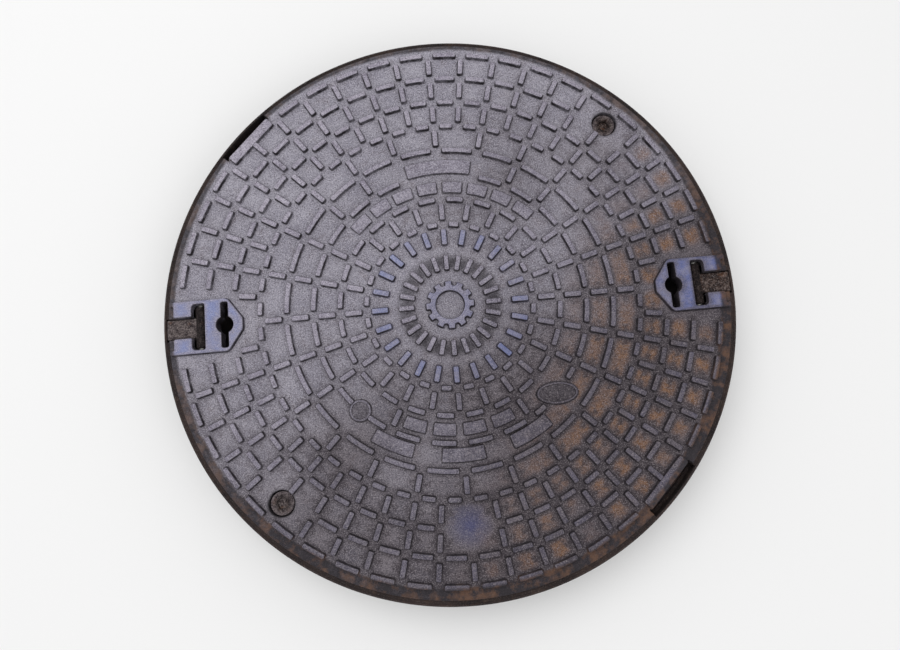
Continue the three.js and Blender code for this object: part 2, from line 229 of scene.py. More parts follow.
# ------------------------ closed solids in one mesh
class Shell:
    """Gathers closed solids into one mesh. Each point carries masks for the material: worn is
    where traffic polishes the iron, the dirt mask where dirt settles and painted shade darkens the
    sides of ribs and hollows, cell the floor well clear of a rib, heart the middle of a tread cell,
    and the sheen mask a painted bluish sky reflection on smooth metal as on the plates."""

    def __init__(self, name):
        self.name = name
        self.verts, self.faces, self.worn, self.grime = [], [], [], []
        self.cell, self.heart, self.cool = {}, {}, {}

    def point(self, x, y, z, worn=0.0, grime=0.0):
        self.verts.append((x, y, z))
        self.worn.append(worn)
        self.grime.append(grime)
        return len(self.verts) - 1

    def ring(self, points, z, worn=0.0, grime=0.0):
        return [self.point(x, y, z, worn, grime) for x, y in points]

    def bridge(self, low, high):
        n = len(low)
        for i in range(n):
            j = (i + 1) % n
            self.faces.append((low[i], low[j], high[j], high[i]))

    def cap(self, loops, up, spacing=0.0, height=None, worn=0.0, grime=0.0):
        """Fills the region inside loops[0] and outside the others, with points every spacing."""
        ids = [i for loop in loops for i in loop]
        flat = [Vector(self.verts[i][:2]) for i in ids]
        z = self.verts[ids[0]][2]
        edges, base = [], 0
        for loop in loops:
            n = len(loop)
            edges += [(base + i, base + (i + 1) % n) for i in range(n)]
            base += n
        rims = [[self.verts[i][:2] for i in loop] for loop in loops]
        points = flat + [Vector(p) for p in (lattice(rims, spacing) if spacing else [])]
        out_v, _, out_f, orig_v, _, _ = delaunay_2d_cdt(points, edges, [], 0, 1e-5)
        place = {}
        on_edge = set()
        for k, v in enumerate(out_v):
            own = [i for i in orig_v[k] if i < len(flat)]
            if own:
                place[k] = ids[own[0]]
            else:
                h = height(v.x, v.y) if height and orig_v[k] else 0.0
                place[k] = self.point(v.x, v.y, z + h, worn, grime)
            if own or not orig_v[k]:
                on_edge.add(place[k])
        for f in out_f:
            tri = [place[i] for i in f]
            if len(set(tri)) < 3:
                continue
            cx = sum(self.verts[i][0] for i in tri) / 3
            cy = sum(self.verts[i][1] for i in tri) / 3
            # only a triangle on the outlines can lie outside the region
            if on_edge.issuperset(tri):
                if not inside((cx, cy), rims[0]) or any(inside((cx, cy), h) for h in rims[1:]):
                    continue
            a, b, c = (self.verts[i] for i in tri)
            turn = (b[0] - a[0]) * (c[1] - a[1]) - (b[1] - a[1]) * (c[0] - a[0])
            if (turn > 0) != up:
                tri.reverse()
            self.faces.append(tuple(tri))

    def solid(self, outline, profile, holes=(), hole_profile=None, spacing=0.0, height=None,
              top_masks=(0.0, 0.0)):
        """A closed solid. profile runs from the bottom to the top as (outward offset, z, worn,
        dirt and painted shade), hole_profile likewise for the holes, and height waves the top."""
        outline = anticlockwise(outline)
        levels = [self.ring(offset(outline, d), z, w, g) for d, z, w, g in profile]
        for low, high in zip(levels, levels[1:]):
            self.bridge(low, high)
        tops, bottoms = [levels[-1]], [levels[0]]
        for hole in holes:
            hole = anticlockwise(hole)
            rows = [self.ring(offset(hole, d), z, w, g) for d, z, w, g in hole_profile]
            for low, high in zip(rows, rows[1:]):
                self.bridge(high, low)
            tops.append(rows[-1])
            bottoms.append(rows[0])
        self.cap(tops, True, spacing, height, *top_masks)
        self.cap(bottoms, False)

    def moved(self, start, matrix):
        """Turns everything added since start by the matrix."""
        for i in range(start, len(self.verts)):
            self.verts[i] = tuple(matrix @ Vector(self.verts[i]))

    def build(self, material):
        """The finished object, in metres, with its masks and sharp where its faces meet steeply."""
        mesh = bpy.data.meshes.new(self.name)
        mesh.from_pydata([(x * MM, y * MM, z * MM) for x, y, z in self.verts], [], self.faces)
        masks = {"worn": self.worn, "grime": self.grime}
        for label, spots in (("cell", self.cell), ("heart", self.heart), ("cool", self.cool)):
            masks[label] = [spots.get(i, 0.0) for i in range(len(self.verts))]
        for label, values in masks.items():
            layer = mesh.attributes.new(label, "FLOAT", "POINT")
            layer.data.foreach_set("value", values)
        mesh.update()
        obj = bpy.data.objects.new(self.name, mesh)
        scene.collection.objects.link(obj)
        mesh.materials.append(material)
        mesh.shade_smooth()
        mesh.set_sharp_from_angle(angle=rad(38))
        return obj


def straight(z0, z1, bevel, worn=0.0, grime=0.0):
    """A plain upright side with a small round at the top and the bottom."""
    b = bevel
    return [(-b, z0, worn, grime), (-0.3 * b, z0 + 0.3 * b, worn, grime), (0, z0 + b, worn, grime),
            (0, z1 - b, worn, grime), (-0.3 * b, z1 - 0.3 * b, worn, grime), (-b, z1, worn, grime)]


def bore(z0, z1, bevel, worn=0.0, grime=0.0):
    """The same for the wall of a hole, which widens towards its ends."""
    return [(-d, z, w, g) for d, z, w, g in straight(z0, z1, bevel, worn, grime)]


# ------------------------ material building
def rgb(r, g, b):
    """A colour as seen on screen, turned into the linear values a shader wants."""
    def lin(v):
        v /= 255
        return v / 12.92 if v <= 0.04045 else ((v + 0.055) / 1.055) ** 2.4
    return (lin(r), lin(g), lin(b), 1.0)


class Graph:
    """One material's node tree, with a short method for each kind of node that it uses."""

    def __init__(self, name):
        self.mat = bpy.data.materials.new(name)
        self.mat.use_nodes = True
        self.tree = self.mat.node_tree
        self.shader = next(n for n in self.tree.nodes if n.type == "BSDF_PRINCIPLED")
        self.coord = self.tree.nodes.new("ShaderNodeTexCoord").outputs["Object"]

    def put(self, socket, value):
        if hasattr(value, "is_output"):
            self.tree.links.new(value, socket)
        else:
            socket.default_value = value

    def noise(self, scale, detail=4.0, rough=0.6, distortion=0.0):
        n = self.tree.nodes.new("ShaderNodeTexNoise")
        self.put(n.inputs["Vector"], self.coord)
        n.inputs["Scale"].default_value = scale
        n.inputs["Detail"].default_value = detail
        n.inputs["Roughness"].default_value = rough
        n.inputs["Distortion"].default_value = distortion
        return n.outputs["Fac"]

    def cells(self, scale):
        n = self.tree.nodes.new("ShaderNodeTexVoronoi")
        self.put(n.inputs["Vector"], self.coord)
        n.inputs["Scale"].default_value = scale
        return n.outputs["Distance"]

    def span(self, value, low, high, to_low=0.0, to_high=1.0, smooth=False):
        n = self.tree.nodes.new("ShaderNodeMapRange")
        n.interpolation_type = "SMOOTHSTEP" if smooth else "LINEAR"
        self.put(n.inputs["Value"], value)
        for k, v in (("From Min", low), ("From Max", high), ("To Min", to_low), ("To Max", to_high)):
            n.inputs[k].default_value = v
        return n.outputs["Result"]

    def math(self, op, a, b=0.0, clamp=False):
        n = self.tree.nodes.new("ShaderNodeMath")
        n.operation = op
        n.use_clamp = clamp
        self.put(n.inputs[0], a)
        self.put(n.inputs[1], b)
        return n.outputs[0]

    def add(self, a, b, clamp=False):
        return self.math("ADD", a, b, clamp)

    def less(self, a, b, clamp=False):
        return self.math("SUBTRACT", a, b, clamp)

    def times(self, a, b, clamp=False):
        return self.math("MULTIPLY", a, b, clamp)

    def mix(self, fac, a, b):
        n = self.tree.nodes.new("ShaderNodeMix")
        n.data_type = "RGBA"
        self.put(n.inputs["Factor"], fac)
        self.put(n.inputs[6], a)
        self.put(n.inputs[7], b)
        return n.outputs[2]

    def mask(self, name):
        n = self.tree.nodes.new("ShaderNodeAttribute")
        n.attribute_name = name
        return n.outputs["Fac"]

    def axes(self):
        n = self.tree.nodes.new("ShaderNodeSeparateXYZ")
        self.put(n.inputs[0], self.coord)
        return n.outputs

    def bump(self, height, distance, strength):
        n = self.tree.nodes.new("ShaderNodeBump")
        n.inputs["Distance"].default_value = distance
        n.inputs["Strength"].default_value = strength
        self.put(n.inputs["Height"], height)
        self.put(self.shader.inputs["Normal"], n.outputs["Normal"])

    def finish(self, color, roughness, metallic=0.0):
        self.put(self.shader.inputs["Base Color"], color)
        self.put(self.shader.inputs["Roughness"], roughness)
        self.put(self.shader.inputs["Metallic"], metallic)
        return self.mat


def tread_iron():
    """Road-worn grey iron: lighter to the back left and darker to the front right, partly dust, damp
    dirt and rust and partly painted light and shade; near-black on the sides of the ribs and round
    the rim, partly dirt and partly painted shade; and a painted bluish sky reflection where it is
    smooth."""
    g = Graph("tread_iron")
    x, y, _ = g.axes()
    worn, grime, cell, heart, cool = (g.mask(k) for k in ("worn", "grime", "cell", "heart", "cool"))
    patch = g.noise(24.0, 5.0, 0.65)
    mottled = g.noise(130.0, 6.0, 0.75)
    coarse = g.noise(340.0, 3.0, 0.7)
    grit = g.noise(760.0, 3.0, 0.8)
    # mask from the back left to the front right: partly dust and damp dirt, partly painted light and
    # painted shade
    shade_and_damp = shade_and_dampness(g, x, y)

    # the floor of the cells: dust to the back left and damp dirt to the front right, the lighter and
    # darker tones partly painted light and shade
    dusty_lit_floor = g.mix(g.span(patch, 0.3, 0.72), rgb(130, 127, 140), rgb(160, 157, 168))
    dirty_shaded_floor = g.mix(g.span(patch, 0.3, 0.7), rgb(61, 55, 63), rgb(95, 87, 92))
    iron = g.mix(shade_and_damp, dusty_lit_floor, dirty_shaded_floor)
    front_right = g.less(x, g.times(y, 0.45))
    rust = g.times(g.span(front_right, 0.1, 0.23, smooth=True),
                   g.span(g.noise(13.0, 2.0, 0.5), 0.28, 0.52, smooth=True))
    ragged = g.times(g.less(mottled, 0.5), g.times(heart, 1.6))
    rust = g.times(rust, g.add(heart, ragged, clamp=True))
    rusty = g.mix(g.span(mottled, 0.35, 0.65), rgb(88, 60, 43), rgb(132, 94, 62))
    iron = g.mix(g.times(rust, 0.9), iron, rusty)
    # painted bluish sky reflection on the smooth bare spot of the deck
    iron = g.mix(g.times(cool, g.less(1.0, worn)), iron, rgb(64, 66, 102))
    spots = g.span(g.noise(60.0, 5.0, 0.7, 0.3), 0.56, 0.7, 0.0, 0.45)
    iron = g.mix(spots, iron, rgb(94, 82, 84))

    # dirt kept back in the narrow ways between the ribs, with painted shade beside the ribs, darker
    # to the front right
    dirt_and_shade_near_ribs = g.times(g.span(cell, 0.0, 0.55, 1.0, 0.0), g.span(shade_and_damp, 0.0, 1.0, 0.12, 0.8))
    dirt_and_shade_near_ribs = g.times(dirt_and_shade_near_ribs, g.less(1.0, worn))
    iron = g.mix(dirt_and_shade_near_ribs, iron, g.mix(shade_and_damp, rgb(98, 90, 98), rgb(46, 39, 45)))

    # the polished tops, chipped, with a painted bluish sky reflection where smooth, and to the front
    # right with dirt lying over them
    chips = g.span(g.noise(420.0, 2.0, 0.6), 0.6, 0.68)
    on_top = g.less(worn, g.times(chips, 0.3), clamp=True)
    over = g.times(g.span(shade_and_damp, 0.55, 1.0),
                   g.span(g.noise(34.0, 4.0, 0.7), 0.4, 0.62, 0.15, 0.8))
    on_top = g.times(on_top, g.less(1.0, g.times(over, g.less(1.0, cool))))
    color = g.mix(on_top, iron, polish_and_sheen(g, patch, mottled, shade_and_damp, cool))

    # grains of grit, pale to the back left and darker to the front right, where the mask also paints
    # shade
    pale = g.mix(shade_and_damp, rgb(196, 192, 202), rgb(138, 130, 134))
    dark = g.mix(shade_and_damp, rgb(66, 58, 66), rgb(34, 29, 35))
    calm = g.span(cool, 0.0, 1.0, 1.0, 0.5)
    for source, low, high, most in ((coarse, 0.54, 0.68, 0.3), (grit, 0.53, 0.64, 0.8)):
        color = g.mix(g.times(g.span(source, low, high, 0.0, most), calm), color, pale)
        color = g.mix(g.times(g.span(source, 1 - low, 1 - high, 0.0, most + 0.05), calm),
                      color, dark)

    # near-black on the sides of the ribs and in a band round the rim: partly road dirt, partly
    # painted shade, with dirt caked at the rim; widest to the front right
    out = g.math("POWER", g.add(g.times(x, x), g.times(y, y)), 0.5)
    out = g.add(out, g.times(g.less(patch, 0.5), 0.006))
    out = g.add(out, g.times(shade_and_damp, 0.008))
    edge = g.span(out, 0.3102, 0.3142, 0.0, 0.95, smooth=True)
    soot_and_shade = g.times(grime, g.span(g.noise(75.0, 5.0, 0.75), 0.36, 0.62, 0.45, 1.15), clamp=True)
    soot_and_shade = g.math("MAXIMUM", soot_and_shade, g.times(edge, g.span(mottled, 0.4, 0.7, 1.0, 0.7)))
    caked = g.times(g.span(out, 0.307, 0.312), g.span(g.noise(42.0, 5.0, 0.75), 0.46, 0.6))
    crust = g.mix(shade_and_damp, rgb(84, 70, 66), rgb(98, 68, 48))
    color = g.mix(soot_and_shade, color, g.mix(g.times(caked, 0.8), rgb(27, 22, 28), crust))

    rough = g.less(g.span(mottled, 0.3, 0.7, 0.66, 0.9), g.times(worn, 0.24))
    height = g.add(g.times(mottled, 0.6), g.times(grit, 0.35))
    height = g.add(height, g.times(g.cells(260.0), 0.25))
    g.bump(height, 0.0011, 0.8)
    g.shader.inputs["Specular IOR Level"].default_value = 0.4
    return g.finish(color, rough, g.times(worn, 0.2))


def shade_and_dampness(g, x, y):
    """0 to the back left, where dust lies thickest and painted light is brightest, to 1 to the front
    right, in the damp dirt and painted shade.
    """
    across = g.add(g.times(x, 0.85), g.times(g.math("ABSOLUTE", x), 0.4))
    across = g.add(across, g.times(y, -1.75))
    drift = g.add(across, g.times(g.less(g.noise(5.5, 3.0, 0.55), 0.5), 1.2))
    return g.span(drift, -0.42, 0.55, smooth=True)


def polish_and_sheen(g, patch, mottled, shade_and_damp, cool):
    """The colour of iron that traffic has rubbed, lighter to the back left and darker to the front
    right with the painted light and shade, and the painted bluish sky reflection on smooth metal.
    """
    high = g.mix(g.span(patch, 0.35, 0.65), rgb(132, 126, 142), rgb(160, 154, 168))
    low = g.mix(g.span(patch, 0.35, 0.65), rgb(58, 54, 70), rgb(90, 86, 104))
    dull = g.mix(shade_and_damp, rgb(108, 100, 110), rgb(58, 52, 62))
    rubbed = g.mix(g.span(mottled, 0.5, 0.72, 0.0, 0.5), g.mix(shade_and_damp, high, low), dull)
    # painted bluish reflection of the sky on the smooth metal
    blue_sheen = g.mix(shade_and_damp, rgb(122, 131, 172), rgb(86, 96, 146))
    blue_sheen = g.mix(g.span(g.noise(48.0, 5.0, 0.7), 0.42, 0.62, 0.0, 0.7), blue_sheen, rgb(132, 129, 148))
    blue_sheen = g.mix(g.span(mottled, 0.55, 0.75, 0.0, 0.35), blue_sheen, rgb(88, 90, 124))
    return g.mix(cool, rubbed, blue_sheen)


def seal_rubber():
    """Black rubber caked with brown road dirt."""
    g = Graph("seal_rubber")
    lumps = g.noise(160.0, 6.0, 0.7)
    patch = g.noise(26.0, 4.0, 0.6)
    color = g.mix(g.span(patch, 0.35, 0.7), rgb(30, 24, 26), rgb(54, 43, 41))
    color = g.mix(g.span(lumps, 0.52, 0.75, 0.0, 0.6), color, rgb(86, 70, 60))
    color = g.mix(g.span(g.noise(900.0, 2.0), 0.55, 0.75, 0.0, 0.35), color, rgb(128, 118, 112))
    g.bump(lumps, 0.0012, 0.6)
    g.shader.inputs["Specular IOR Level"].default_value = 0.3
    return g.finish(color, g.span(lumps, 0.3, 0.7, 0.75, 0.95))


def lug_iron():
    """Iron left rough and rusty under packed street dirt, darker on the right-hand lug; near-black
    where the dirt mask is high, partly dirt and partly painted shade; worn marks bare grey metal.
    """
    g = Graph("lug_iron")
    worn, grime = g.mask("worn"), g.mask("grime")
    x, _, _ = g.axes()
    lumps = g.noise(210.0, 7.0, 0.75)
    grains = g.noise(640.0, 3.0, 0.7)
    left_lug_tone = g.mix(g.span(lumps, 0.4, 0.6), rgb(66, 57, 59), rgb(128, 117, 116))
    right_lug_tone = g.mix(g.span(lumps, 0.4, 0.6), rgb(38, 30, 31), rgb(92, 74, 66))
    # darker on the right-hand lug (x > 0) than on the left
    color = g.mix(g.span(x, -0.1, 0.1), left_lug_tone, right_lug_tone)
    color = g.mix(g.span(g.noise(70.0, 3.0), 0.58, 0.7, 0.0, 0.6), color, rgb(120, 80, 54))
    color = g.mix(g.span(lumps, 0.52, 0.7, 0.0, 0.7), color, rgb(140, 128, 125))
    bare = g.mix(g.span(lumps, 0.4, 0.6), rgb(76, 68, 72), rgb(122, 112, 116))
    color = g.mix(worn, color, bare)
    color = g.mix(g.span(grains, 0.54, 0.66, 0.0, 0.7), color, rgb(156, 147, 145))
    color = g.mix(g.span(grains, 0.47, 0.36, 0.0, 0.9), color, rgb(26, 21, 24))
    # near-black on the barrel and the stem's sides: partly packed dirt, partly painted shade
    soot_and_shade = g.times(grime, g.span(lumps, 0.3, 0.65, 1.0, 0.8))
    color = g.mix(soot_and_shade, color, g.mix(g.span(grains, 0.5, 0.65), rgb(20, 16, 18), rgb(56, 47, 46)))
    g.bump(g.add(lumps, g.times(grains, 0.4)), 0.0018, 0.9)
    g.shader.inputs["Specular IOR Level"].default_value = 0.15
    return g.finish(color, g.span(lumps, 0.3, 0.7, 0.65, 0.92), 0.1)


def plated_steel():
    """Dull zinc plate, stained at random."""
    g = Graph("plated_steel")
    stain = g.noise(90.0, 5.0, 0.65)
    fine = g.noise(1400.0, 2.0, 0.5)
    color = g.mix(g.span(stain, 0.4, 0.7), rgb(168, 168, 166), rgb(112, 106, 100))
    color = g.mix(g.span(stain, 0.6, 0.78, 0.0, 0.8), color, rgb(124, 84, 56))
    g.bump(fine, 0.0001, 0.4)
    return g.finish(color, g.span(stain, 0.3, 0.7, 0.32, 0.6), g.span(stain, 0.5, 0.75, 0.9, 0.3))


def tray_coat():
    """Black dip coating, chipped through to rust in places, with grit lying where it is worn."""
    g = Graph("tray_coat")
    patch = g.noise(40.0, 5.0, 0.6)
    chips = g.noise(300.0, 4.0, 0.7)
    color = g.mix(g.span(patch, 0.35, 0.7), rgb(38, 37, 40), rgb(72, 66, 64))
    color = g.mix(g.span(chips, 0.62, 0.7), color, rgb(118, 78, 54))
    dust = g.mix(g.span(chips, 0.4, 0.6), rgb(120, 104, 94), rgb(198, 184, 172))
    color = g.mix(g.mask("worn"), color, dust)
    g.bump(g.add(patch, g.times(chips, 0.3)), 0.0006, 0.5)
    return g.finish(color, g.span(patch, 0.3, 0.7, 0.4, 0.7))


MATERIALS = {make.__name__: make()
             for make in (tread_iron, seal_rubber, lug_iron, plated_steel, tray_coat)}
SLOT_OF = {s["node"]: s["material_slot"] for s in frame["record"]["subparts"]}


def stand_for(obj, node, body):
    """Parents the piece to the empty of the body that it rides and hides the node that it replaces.
    """
    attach(obj, body)
    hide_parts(node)
    return obj


# ------------------------ the casting
def near(deg, target, within):
    """Is one direction within so many degrees of another?"""
    return abs((deg - target + 540) % 360 - 180) < within


def near_any(deg, targets, within):
    return any(near(deg, t, within) for t in targets)


def ring_radius(k):
    """Radius of the ring of ribs that is k places in from the rim."""
    return RING_0 - RING_PITCH * k


def rib_profile(tilt):
    """Foot blended into the deck, drafted side, rounded edge: (offset, z, worn, dirt and painted
    shade).
    """
    z = Z_TOP - tilt
    return [(1.7, Z_DECK - 0.6, 0.0, 0.0), (1.5, Z_DECK + 0.02, 0.0, 0.05),
            (0.95, Z_DECK + 0.16, 0.0, 0.6), (0.6, Z_DECK + 0.55, 0.0, 1.0),
            (0.12, z - 1.0, 0.0, 1.0), (0.0, z - 0.5, 0.2, 0.8), (-0.3, z - 0.14, 0.9, 0.1),
            (-0.85, z, 1.0, 0.0)]


FEET = []  # points along the middle of every rib, for the dirt and painted shade that lie beside them
HEARTS = []  # the middles of the tread cells, where rust shows


def arc_rib(shell, r, deg, along, width):
    """A rib that follows its ring: length along the arc, bent to the radius."""
    n = max(1, round(along / 9))
    steps = [-along / 2 + along * i / n for i in range(n + 1)]
    flat = [(-width / 2, v) for v in reversed(steps)] + [(width / 2, v) for v in steps]
    corners = [RIB_CORNER if i in (0, n, n + 1, 2 * n + 1) else 0.0 for i in range(2 * n + 2)]
    flat = rounded(flat, corners, 2)
    out = []
    for u, v in flat:
        a = rad(deg) + v / r
        out.append(((r + u) * math.cos(a), (r + u) * math.sin(a)))
    for i in range(9):
        FEET.append((*polar(r, deg + math.degrees((i / 8 - 0.5) * along / r)), width / 2))
    shell.solid(out, rib_profile(random.uniform(0.0, 0.35)))


def bar_rib(shell, r, deg, along, width, cool=0.0):
    """A straight rib, along its radius and width across it."""
    x, y = polar(r, deg)
    flat = spin(rounded([(-along / 2, -width / 2), (along / 2, -width / 2),
                         (along / 2, width / 2), (-along / 2, width / 2)], RIB_CORNER, 2), deg)
    for i in range(9):
        u = (i / 8 - 0.5) * (along - 4)
        v = (i / 8 - 0.5) * (width - 4)
        for p, q, half in ((u, 0, width / 2), (0, v, along / 2)):
            FEET.append((*[a + b for a, b in zip((x, y), spin([(p, q)], deg)[0])], half))
    start = len(shell.verts)
    shell.solid([(x + u, y + v) for u, v in flat], rib_profile(random.uniform(0.0, 0.35)))
    # a painted bluish sky reflection on the bars given one
    if cool:
        for i in range(start, len(shell.verts)):
            shell.cool[i] = cool


def no_arc_rib(k, a):
    """Is a place in ring k taken by a plate, notch, lock or tile, or by the bare place?"""
    return ((k < 3 and near_any(a, SIDES, 5)) or (k == 0 and near_any(a, NOTCH_ANGLES, 5))
            or (k == 1 and near_any(a, LOCK_ANGLES, 5)) or (k == 2 and near(a, PATCH, 5))
            or (k == 5 and near(a, 90, 10)))


def no_cross_rib(band, a):
    """The same for the cross ribs, in the bands between the rings."""
    plate = 10 if band < 2 else 2 if band == 2 else 0
    return (near_any(a, SIDES, plate) or (band == 0 and near_any(a, LOCK_ANGLES, 2))
            or (band in (1, 2) and near(a, PATCH, 2))
            or (band == 4 and (near(a, 90, 16) or near(a, 270, 46)))
            or (band == 5 and (near(a, 90, 46) or near(a, 270, 16) or near_any(a, (225, 315), 2))))


def tread(shell):
    """Eight rings of ribs along the arc, seven of cross ribs between them, and the hub's bars."""
    for k in range(8):
        r = ring_radius(k)
        pitch = FINE if k < 4 else COARSE
        for i in range(round(360 / pitch)):
            a = (i + 0.5) * pitch
            if no_arc_rib(k, a):
                continue
            length, centre = r * rad(pitch) - RIB_GAP, a
            if k == 5 and near_any(a, (225, 315), 10):  # cut short beside the bosses
                cut = 5 if near(a, 225, 10) else 13
                length -= cut
                centre += (-1 if a < 225 or 300 < a < 315 else 1) * math.degrees(cut / 2 / r)
            arc_rib(shell, r, centre, length, RIB_W)
    for band in range(7):
        r = ring_radius(band) - RING_PITCH / 2
        pitch = FINE if band < 3 else COARSE
        for i in range(round(360 / pitch)):
            a = i * pitch
            for part in (0.5,) if pitch == FINE else (0.5, 0.25, 0.75):
                HEARTS.append(polar(r, a + pitch * part))
            if not no_cross_rib(band, a):
                bar_rib(shell, r, a, CROSS_L, CROSS_W)
    for i in range(24):
        bar_rib(shell, OUTER_BARS, i * COARSE, 18, 5.8, random.uniform(0.35, 0.85))
        bar_rib(shell, HUB_BARS, i * COARSE, 17, 5.2)
    for a in NOTCH_ANGLES:
        bar_rib(shell, NOTCH_BARS, a, 11, 64)


def hub_ring(shell):
    """Flat ring with twelve square teeth and round-bottomed gaps."""
    teeth = []
    for i in range(12):
        for d, r in ((-8.4, 22.2), (-7.7, HUB_R), (7.7, HUB_R), (8.4, 22.2)):
            teeth.append(polar(r, i * 30 + d))
    z = Z_TOP - 0.1
    side = [(1.6, Z_DECK - 0.5, 0, 0.2), (1.4, Z_DECK + 0.06, 0, 0.5), (0.7, Z_DECK + 0.3, 0, 1),
            (0.3, Z_DECK + 1.5, 0, 1), (0.05, z - 0.8, 0, 1), (-0.25, z - 0.2, 0.9, 0.2),
            (-0.7, z, 1, 0)]
    wall = [(-1.2, Z_DECK - 0.5, 0, 0.5), (-0.6, Z_DECK + 0.3, 0, 1), (-0.1, z - 0.9, 0, 1),
            (0.2, z - 0.2, 0.8, 0.3), (0.6, z, 1, 0)]
    outline = rounded(teeth, [2.4, 1.1, 1.1, 2.4] * 12, 4)
    start = len(shell.verts)
    shell.solid(outline, side, [circle(0, 0, HUB_BORE, 64)], wall, top_masks=(0.9, 0.0))
    # a little painted bluish sky reflection on the hub ring
    for i in range(start, len(shell.verts)):
        shell.cool[i] = 0.35


def sector(r0, r1, a0, a1, n):
    """The outline of part of a ring, from one radius and angle to the others, in n steps."""
    angles = [a0 + (a1 - a0) * i / n for i in range(n + 1)]
    return [polar(r1, a) for a in angles] + [polar(r0, a) for a in reversed(angles)]


def tile(shell, r0, r1, a0, a1, worn=0.3):
    """One plain raised tile with rounded corners."""
    n = max(2, round((a1 - a0) / 3))
    marks = [1.5 if i in (0, n, n + 1, 2 * n + 1) else 0 for i in range(2 * n + 2)]
    shell.solid(rounded(sector(r0, r1, a0, a1, n), marks, 3), low_profile(TILE_Z),
                top_masks=(worn, 0.0))


def low_profile(z):
    """The side of a low tile or boss whose top is at z."""
    return [(1.8, Z_DECK - 0.5, 0, 0), (1.6, Z_DECK + 0.04, 0, 0.1), (0.9, Z_DECK + 0.12, 0, 0.6),
            (0.45, Z_DECK + 0.6, 0, 0.9), (0.15, z - 0.8, 0.2, 0.7), (-0.2, z - 0.2, 0.8, 0),
            (-0.7, z, 0.8, 0)]


def tiles(shell):
    """Where the tiles lie, back and front."""
    for i in range(8):
        tile(shell, TILES_IN, TILES_OUT, 43.5 + 12 * i, 52.5 + 12 * i)
    for i in range(4):
        tile(shell, TILES_IN, TILES_OUT, 244 + 13.5 * i, 254 + 13.5 * i)
    tile(shell, 156.2, 172, 77, 103, 0.35)
    for a in (243, 270, 297):
        tile(shell, 159.2, 174, a - 8, a + 8)


def bosses(shell):
    """A round and an oval boss, each a low rim round a sunk floor."""
    for deg, a, b in ((225, 11.7, 11.7), (315, 22.5, 11.8)):
        x, y = polar(BOSS_R, deg)
        ring = [(x + a * u, y + b * v) for u, v in circle(0, 0, 1, 48)]
        inner = [(x + (a - 2.4) * u, y + (b - 2.4) * v) for u, v in circle(0, 0, 1, 48)]
        z = Z_DECK + 3.5
        wall = [(0.2, Z_DECK - 0.5, 0, 0.6), (0.05, Z_DECK + 2.2, 0, 0.9), (0.5, z, 0.7, 0)]
        shell.solid(ring, low_profile(z), [inner], wall, top_masks=(0.7, 0.0))
        shell.solid(offset(inner, 0.6), [(0, Z_DECK - 0.5, 0, 0), (0, Z_DECK + 1.8, 0.2, 0.3)],
                    top_masks=(0.3, 0.3))


def t_pocket(reach):
    """The outline round the T pocket, in from the rim and back out again, and its corners."""
    s, h = STEM_HALF, BAR_HALF
    pts = [(reach, -s), (BAR_X1, -s), (BAR_X1, -h), (BAR_X0, -h),
           (BAR_X0, h), (BAR_X1, h), (BAR_X1, s), (reach, s)]
    return pts, [0, 1.5, 4.5, 2.0, 2.0, 4.5, 1.5, 0]


def key_slot():
    """The outline of a key slot, narrow with a round middle."""
    w = SLOT_W / 2
    reach = math.asin(w / SLOT_R)
    arcs = [(SLOT_X + SLOT_R * math.sin(t), -SLOT_R * math.cos(t))
            for t in [reach + (math.pi - 2 * reach) * i / 14 for i in range(15)]]
    left = [(2 * SLOT_X - x, -y) for x, y in arcs]
    slot = ([(SLOT_X + w, -SLOT_HALF)] + arcs + [(SLOT_X + w, SLOT_HALF)]
            + [(SLOT_X - w, SLOT_HALF)] + left + [(SLOT_X - w, -SLOT_HALF)])
    return rounded(slot, [2.2] + [0] * 15 + [2.2, 2.2] + [0] * 15 + [2.2], 4)


def pocket_plates(shell):
    """The two smooth raised plates, each with a key slot and round its T pocket."""
    edge = math.sqrt((R_DECK - 1.8) ** 2 - PLATE_HALF ** 2)
    for side in SIDES:
        start = len(shell.verts)
        pocket, corners = t_pocket(PAD_END)
        outline = [(233, 6.2), (233, -6.2), (249.6, -PLATE_HALF), (edge, -PLATE_HALF),
                   (edge, -25), (PAD_END, -25)]
        radius = [5, 5, 7, 1.1, 1.1, 1.1]
        outline += pocket + [(PAD_END, 25), (edge, 25), (edge, PLATE_HALF),
                             (249.6, PLATE_HALF)]
        radius += [1.6] + corners[1:-1] + [1.6] + [1.1, 1.1, 1.1, 7]
        outline = spin(rounded(outline, radius, 4), side)
        slot = spin(key_slot(), side)
        z = Z_TOP
        body = [(0.0, Z_UNDER - 0.4, 0, 1), (0.0, Z_DECK - 0.4, 0, 1), (1.0, Z_DECK - 0.1, 0, 0.6),
                (0.7, Z_DECK + 0.5, 0, 1), (0.35, Z_DECK + 1.6, 0, 1), (0.05, z - 1.3, 0.1, 0.8),
                (-0.2, z - 0.4, 0.8, 0.1), (-0.55, z - 0.08, 1, 0), (-0.95, z, 1, 0)]
        wall = [(0.0, Z_UNDER - 0.4, 0, 1), (0.0, z - 1.2, 0, 0.95), (0.2, z - 0.4, 0.7, 0.2),
                (0.55, z - 0.08, 1, 0), (0.95, z, 1, 0)]

        def swell(px, py):
            return -0.12 + 0.12 * noise.noise(Vector((px / 9, py / 9, 3.0)))

        shell.solid(outline, body, [slot], wall, spacing=3.0, height=swell, top_masks=(1.0, 0.0))
        # painted bluish sky reflection, stronger away from the plate's edges
        rim = nearest(outline + slot)
        for i in range(start, len(shell.verts)):
            px, py, _ = shell.verts[i]
            far = rim.find((px, py, 0))[2]
            shell.cool[i] = max(0.0, min(1.0, 0.35 + 0.09 * far))


